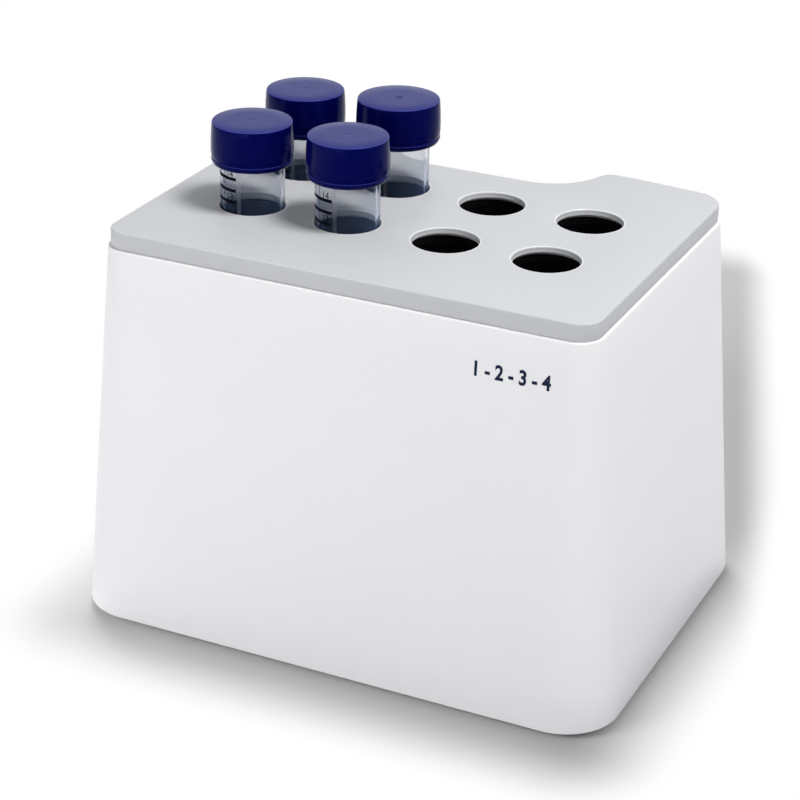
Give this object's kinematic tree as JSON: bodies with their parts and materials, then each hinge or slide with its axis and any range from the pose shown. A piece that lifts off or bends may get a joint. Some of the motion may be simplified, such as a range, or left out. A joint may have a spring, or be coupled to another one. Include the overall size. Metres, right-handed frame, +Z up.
{
  "type": "dry block heater",
  "caption": "Compact bench heater with a flared casing, wells for conical tubes under a flat cover, screw-capped tubes and a rear control panel.",
  "frame": {"origin": "on the table under the middle of the casing's foot", "axes": "+Z up, +X along the long side, the plain long face towards -Y and the control panel towards +Y"},
  "size_m": [0.1508, 0.1138, 0.1331],
  "materials": {
    "casing_plastic": "satin off-white moulding",
    "cover_plastic": "matte light grey moulding",
    "base_plastic": "matte dark grey moulding",
    "foot_rubber": "matte black",
    "screw_steel": "zinc plated",
    "gasket_rubber": "black silicone sponge",
    "block_anodised": "black anodised",
    "mat_silicone": "orange-red silicone",
    "plate_aluminium": "mill finish",
    "pillar_ceramic": "heat-resistant insulating moulding",
    "insulation_foam": "felted fibre",
    "probe_steel": "stainless sheath",
    "part_plastic": "black moulding",
    "board_laminate": "green laminate",
    "post_plastic": "natural moulding",
    "digit_light": "red segments",
    "panel_plastic": "satin dark blue-grey overlay",
    "window_plastic": "tinted clear window",
    "key_plastic": "satin grey",
    "switch_plastic": "black moulding",
    "contact_brass": "plated",
    "lead_white": "silicone sleeving",
    "lead_red": "silicone sleeving",
    "lead_grey": "silicone sleeving",
    "tube_clear": "clear moulded polymer",
    "seal_silicone": "translucent disc",
    "cap_plastic": "dark blue moulding"
  },
  "bodies": {
    "housing": {"casing": "casing_plastic", "cover_plate": "cover_plastic", "base_plate": "base_plastic", "rubber_feet": "foot_rubber", "base_screws": "screw_steel", "tie_rods": "screw_steel", "top_gasket": "gasket_rubber", "block_1": "block_anodised", "block_2": "block_anodised", "block_3": "block_anodised", "block_4": "block_anodised", "heating_mat": "mat_silicone", "mat_clamp": "plate_aluminium", "clamp_screws": "screw_steel", "block_pillars": "pillar_ceramic", "insulation_front": "insulation_foam", "insulation_rear": "insulation_foam", "insulation_left": "insulation_foam", "insulation_right": "insulation_foam", "insulation_floor": "insulation_foam", "temperature_probe": "probe_steel", "thermal_cutout": "part_plastic", "cutout_screws": "screw_steel", "power_board": "board_laminate", "power_parts": "part_plastic", "heat_spreader": "plate_aluminium", "board_screws": "screw_steel", "control_board": "board_laminate", "board_posts": "post_plastic", "key_switches": "part_plastic", "display_module": "part_plastic", "display_digits": "digit_light", "control_panel": "panel_plastic", "display_window": "window_plastic", "switch_housing": "switch_plastic", "switch_blades": "contact_brass", "dc_inlet": "switch_plastic", "inlet_nut": "screw_steel", "inlet_pin": "contact_brass", "heater_lead": "lead_white", "sensor_lead": "lead_white", "power_lead": "lead_red", "control_lead": "lead_grey"},
    "tube_1": {"tube_1": "tube_clear"},
    "tube_2": {"tube_2": "tube_clear"},
    "tube_3": {"tube_3": "tube_clear"},
    "tube_4": {"tube_4": "tube_clear"},
    "cap_seal_1": {"cap_seal_1": "seal_silicone"},
    "cap_seal_2": {"cap_seal_2": "seal_silicone"},
    "cap_seal_3": {"cap_seal_3": "seal_silicone"},
    "cap_seal_4": {"cap_seal_4": "seal_silicone"},
    "cap_1": {"cap_1": "cap_plastic"},
    "cap_2": {"cap_2": "cap_plastic"},
    "cap_3": {"cap_3": "cap_plastic"},
    "cap_4": {"cap_4": "cap_plastic"},
    "key_set": {"key_set": "key_plastic"},
    "key_up": {"key_up": "key_plastic"},
    "key_down": {"key_down": "key_plastic"},
    "power_rocker": {"power_rocker": "switch_plastic"}
  },
  "joints": [
    {"name": "tube_1_lift", "type": "slide", "parent": "housing", "child": "tube_1", "axis": [0, 0, 1], "range_m": [0, 0.112]},
    {"name": "cap_1_rise", "type": "slide", "parent": "tube_1", "child": "cap_seal_1", "axis": [0, 0, 1], "range_m": [0, 0.00401]},
    {"name": "cap_1_turn", "type": "hinge", "parent": "cap_seal_1", "child": "cap_1", "pos_m": [-0.0413, -0.01595, 0.1236], "axis": [0, 0, 1], "range_deg": [0, 450]},
    {"name": "tube_2_lift", "type": "slide", "parent": "housing", "child": "tube_2", "axis": [0, 0, 1], "range_m": [0, 0.112]},
    {"name": "cap_2_rise", "type": "slide", "parent": "tube_2", "child": "cap_seal_2", "axis": [0, 0, 1], "range_m": [0, 0.00401]},
    {"name": "cap_2_turn", "type": "hinge", "parent": "cap_seal_2", "child": "cap_2", "pos_m": [-0.0413, 0.01345, 0.1236], "axis": [0, 0, 1], "range_deg": [0, 450]},
    {"name": "tube_3_lift", "type": "slide", "parent": "housing", "child": "tube_3", "axis": [0, 0, 1], "range_m": [0, 0.112]},
    {"name": "cap_3_rise", "type": "slide", "parent": "tube_3", "child": "cap_seal_3", "axis": [0, 0, 1], "range_m": [0, 0.00401]},
    {"name": "cap_3_turn", "type": "hinge", "parent": "cap_seal_3", "child": "cap_3", "pos_m": [-0.0141, -0.01595, 0.1236], "axis": [0, 0, 1], "range_deg": [0, 450]},
    {"name": "tube_4_lift", "type": "slide", "parent": "housing", "child": "tube_4", "axis": [0, 0, 1], "range_m": [0, 0.112]},
    {"name": "cap_4_rise", "type": "slide", "parent": "tube_4", "child": "cap_seal_4", "axis": [0, 0, 1], "range_m": [-0.00179, 0.00223]},
    {"name": "cap_4_turn", "type": "hinge", "parent": "cap_seal_4", "child": "cap_4", "pos_m": [-0.0141, 0.01345, 0.1236], "axis": [0, 0, 1], "range_deg": [-200, 250]},
    {"name": "key_set_press", "type": "slide", "parent": "housing", "child": "key_set", "axis": [0, -0.9771, -0.2128], "range_m": [0, 0.0006], "stiffness_N_per_m": 400, "springref_m": -0.0004},
    {"name": "key_up_press", "type": "slide", "parent": "housing", "child": "key_up", "axis": [0, -0.9771, -0.2128], "range_m": [0, 0.0006], "stiffness_N_per_m": 400, "springref_m": -0.0004},
    {"name": "key_down_press", "type": "slide", "parent": "housing", "child": "key_down", "axis": [0, -0.9771, -0.2128], "range_m": [0, 0.0006], "stiffness_N_per_m": 400, "springref_m": -0.0004},
    {"name": "rocker_tilt", "type": "hinge", "parent": "housing", "child": "power_rocker", "pos_m": [-0.06779, 0.031, 0.05474], "axis": [0, 1, 0], "range_deg": [-16, 0]}
  ],
  "couplings": [
    {"joint": "cap_1_rise", "follows": "cap_1_turn", "m_per_rad": 0.0005093},
    {"joint": "cap_2_rise", "follows": "cap_2_turn", "m_per_rad": 0.0005093},
    {"joint": "cap_3_rise", "follows": "cap_3_turn", "m_per_rad": 0.0005093},
    {"joint": "cap_4_rise", "follows": "cap_4_turn", "m_per_rad": 0.0005093}
  ]
}
